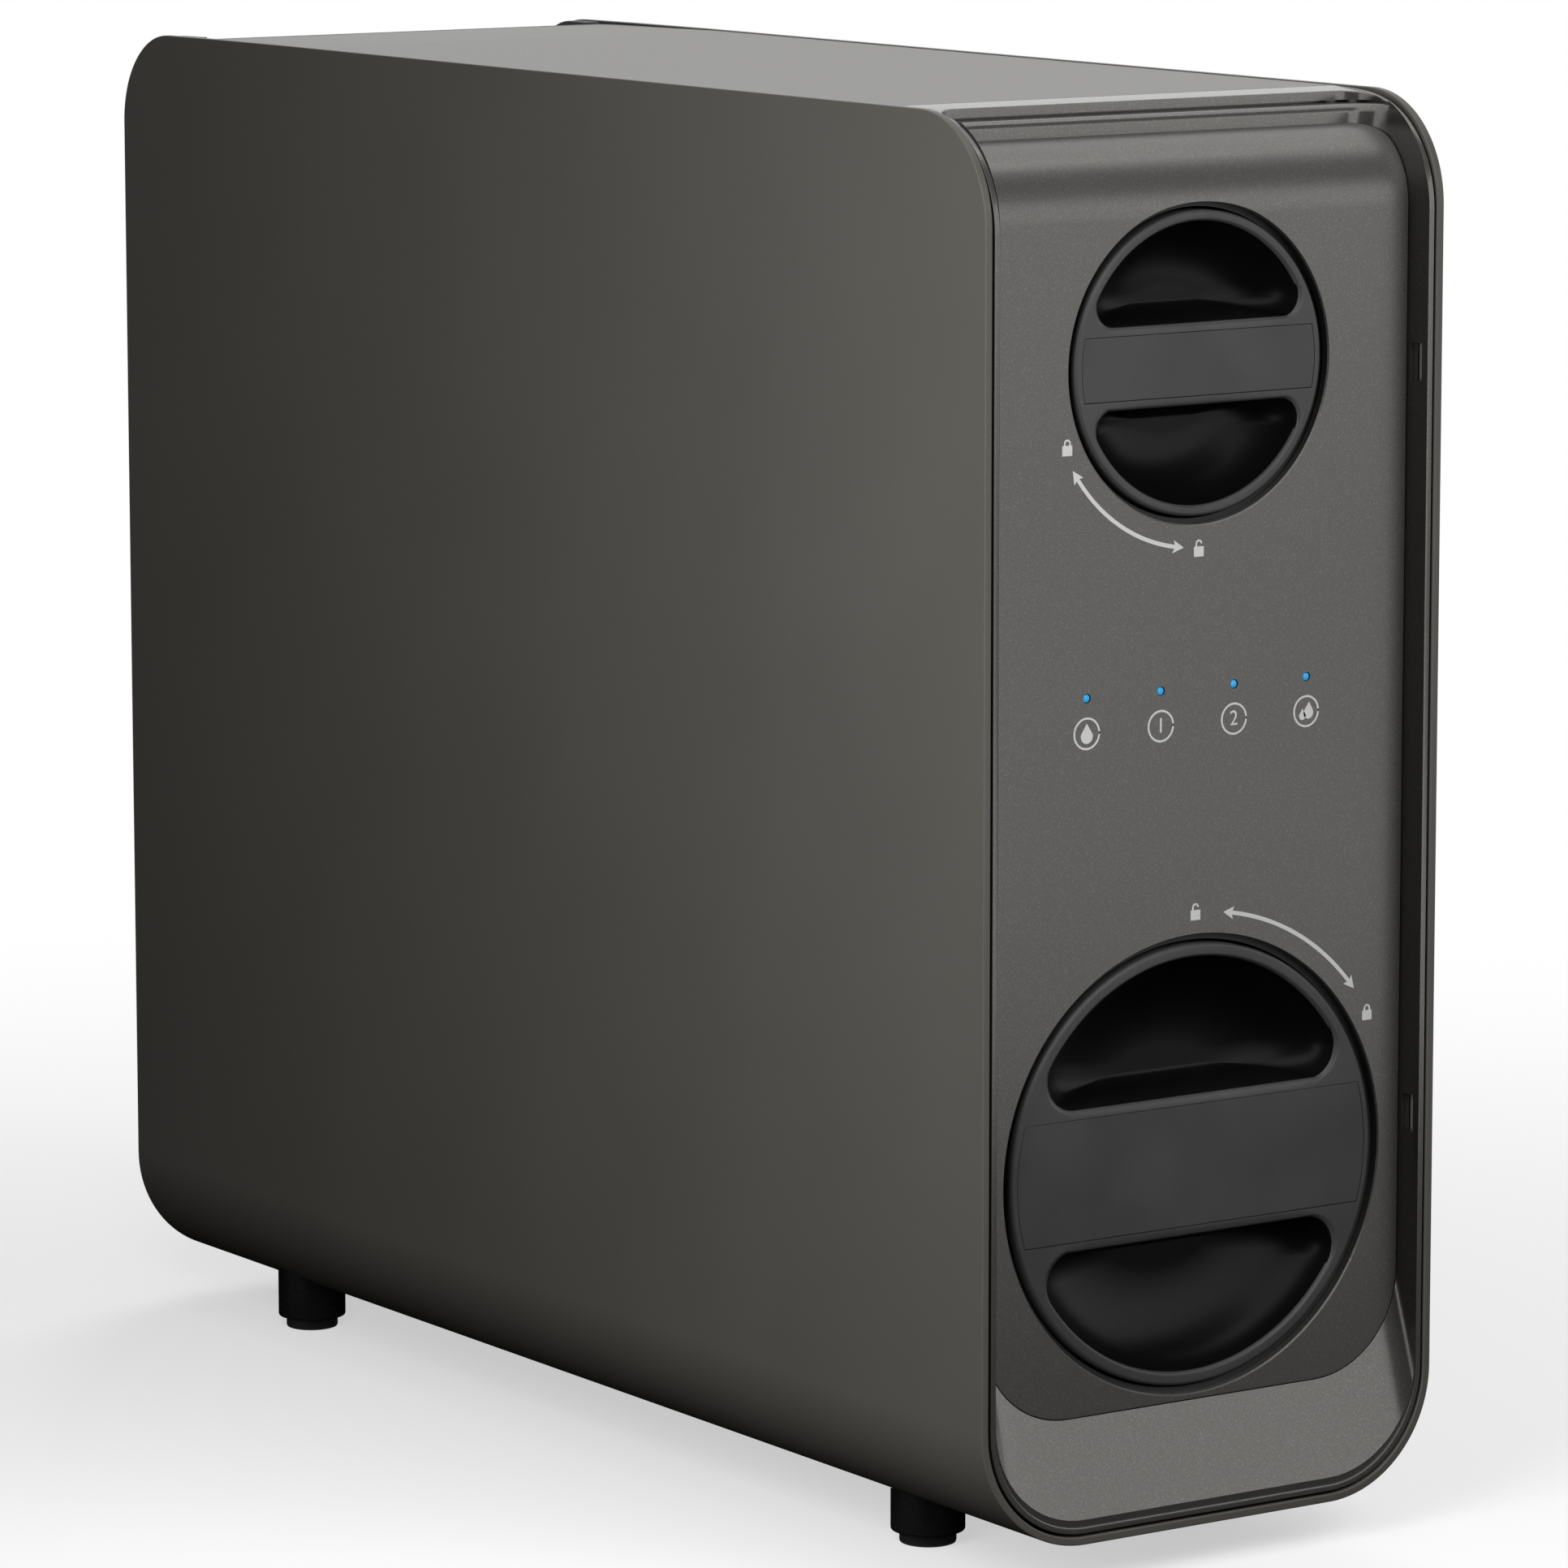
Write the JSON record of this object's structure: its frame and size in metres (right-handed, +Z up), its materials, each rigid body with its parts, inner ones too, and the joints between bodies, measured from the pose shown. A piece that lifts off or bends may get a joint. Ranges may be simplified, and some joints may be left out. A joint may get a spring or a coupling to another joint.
{
  "type": "under-sink reverse osmosis water purifier",
  "caption": "Slim upright under-sink reverse osmosis water purifier: a grey wrapped shell and a recessed face with twist-lock filter cartridges that pull out of the front.",
  "frame": {"origin": "on the floor, under the middle of the case", "axes": "+Y from the face to the rear along the case's depth, +X across its width to the right as seen from the front, +Z up"},
  "size_m": [0.15, 0.45, 0.392],
  "materials": {
    "warm_grey_paint": "satin warm grey paint on sheet metal",
    "grey_flake_paint": "semi-gloss grey metallic flake paint on moulded plastic",
    "matt_black_plastic": "matt black moulded plastic",
    "dark_grey_plastic": "dark grey moulded plastic",
    "white_plastic": "white moulded plastic",
    "blue_plastic": "blue moulded plastic",
    "black_rubber": "matt black rubber",
    "zinc_steel": "zinc-plated steel",
    "brass": "turned brass",
    "board_green": "green circuit board lacquer",
    "carbon_black": "pressed activated carbon",
    "membrane_white": "wound membrane in white tape",
    "clear_blue_pipe": "clear plastic light pipe, lit blue",
    "white_tube": "white polyethylene tube"
  },
  "bodies": {
    "casing": {"outer_shell": "warm_grey_paint", "front_frame": "grey_flake_paint", "face_panel": "grey_flake_paint", "top_cover": "warm_grey_paint", "rear_panel": "dark_grey_plastic", "foot_front_left": "matt_black_plastic", "foot_front_right": "matt_black_plastic", "foot_rear_left": "matt_black_plastic", "foot_rear_right": "matt_black_plastic", "foot_pad_front_left": "black_rubber", "foot_pad_front_right": "black_rubber", "foot_pad_rear_left": "black_rubber", "foot_pad_rear_right": "black_rubber", "base_tray": "dark_grey_plastic", "front_bulkhead": "dark_grey_plastic", "rear_bulkhead": "dark_grey_plastic", "pump_shelf": "zinc_steel", "carbon_sleeve": "dark_grey_plastic", "membrane_sleeve": "dark_grey_plastic", "carbon_head": "white_plastic", "membrane_head": "white_plastic", "pump_motor": "zinc_steel", "pump_head": "matt_black_plastic", "inlet_valve": "white_plastic", "flush_valve": "white_plastic", "water_probe": "matt_black_plastic", "pressure_switch": "brass", "leak_sensor": "white_plastic", "control_board": "board_green", "light_pipe_1": "clear_blue_pipe", "light_pipe_2": "clear_blue_pipe", "light_pipe_3": "clear_blue_pipe", "light_pipe_4": "clear_blue_pipe", "inlet_port": "white_plastic", "drain_port": "white_plastic", "pure_port": "white_plastic", "power_socket": "matt_black_plastic", "feed_tube": "white_tube", "pump_feed_tube": "white_tube", "pressure_tube": "white_tube", "pure_tube": "white_tube", "drain_tube": "white_tube"},
    "carbon_valve": {"carbon_valve_rotor": "blue_plastic"},
    "carbon_cartridge": {"carbon_cap": "matt_black_plastic", "carbon_cap_insert": "matt_black_plastic", "carbon_canister": "white_plastic", "carbon_block": "carbon_black", "carbon_neck_seal": "black_rubber"},
    "membrane_valve": {"membrane_valve_rotor": "blue_plastic"},
    "membrane_cartridge": {"membrane_cap": "matt_black_plastic", "membrane_cap_insert": "matt_black_plastic", "membrane_canister": "white_plastic", "membrane_element": "membrane_white", "membrane_neck_seal": "black_rubber"},
    "inlet_release": {"inlet_collet": "blue_plastic"},
    "drain_release": {"drain_collet": "blue_plastic"},
    "pure_release": {"pure_collet": "blue_plastic"},
    "inlet_plunger": {"inlet_valve_plunger": "zinc_steel"},
    "flush_plunger": {"flush_valve_plunger": "zinc_steel"},
    "pump_drive": {"pump_eccentric": "zinc_steel"}
  },
  "joints": [
    {"name": "carbon_lock", "type": "hinge", "parent": "casing", "child": "carbon_valve", "pos_m": [0, 0.0753, 0.3234], "axis": [0, -1, 0], "range_deg": [0, 65]},
    {"name": "carbon_pull", "type": "slide", "parent": "carbon_valve", "child": "carbon_cartridge", "axis": [0, -1, 0], "range_m": [0, 0.34]},
    {"name": "membrane_lock", "type": "hinge", "parent": "casing", "child": "membrane_valve", "pos_m": [0, 0.0753, 0.1086], "axis": [0, -1, 0], "range_deg": [0, 59]},
    {"name": "membrane_pull", "type": "slide", "parent": "membrane_valve", "child": "membrane_cartridge", "axis": [0, -1, 0], "range_m": [0, 0.34]},
    {"name": "inlet_release_push", "type": "slide", "parent": "casing", "child": "inlet_release", "axis": [0, -1, 0], "range_m": [0, 0.0015]},
    {"name": "drain_release_push", "type": "slide", "parent": "casing", "child": "drain_release", "axis": [0, -1, 0], "range_m": [0, 0.0015]},
    {"name": "pure_release_push", "type": "slide", "parent": "casing", "child": "pure_release", "axis": [0, -1, 0], "range_m": [0, 0.0015]},
    {"name": "inlet_plunger_lift", "type": "slide", "parent": "casing", "child": "inlet_plunger", "axis": [0, 0, 1], "range_m": [0, 0.0025], "stiffness_N_per_m": 200, "springref_m": -0.002},
    {"name": "flush_plunger_lift", "type": "slide", "parent": "casing", "child": "flush_plunger", "axis": [0, 0, 1], "range_m": [0, 0.0025], "stiffness_N_per_m": 200, "springref_m": -0.002},
    {"name": "pump_turn", "type": "hinge", "parent": "casing", "child": "pump_drive", "pos_m": [0, 0, 0.2258], "axis": [0, 1, 0], "continuous": true}
  ]
}
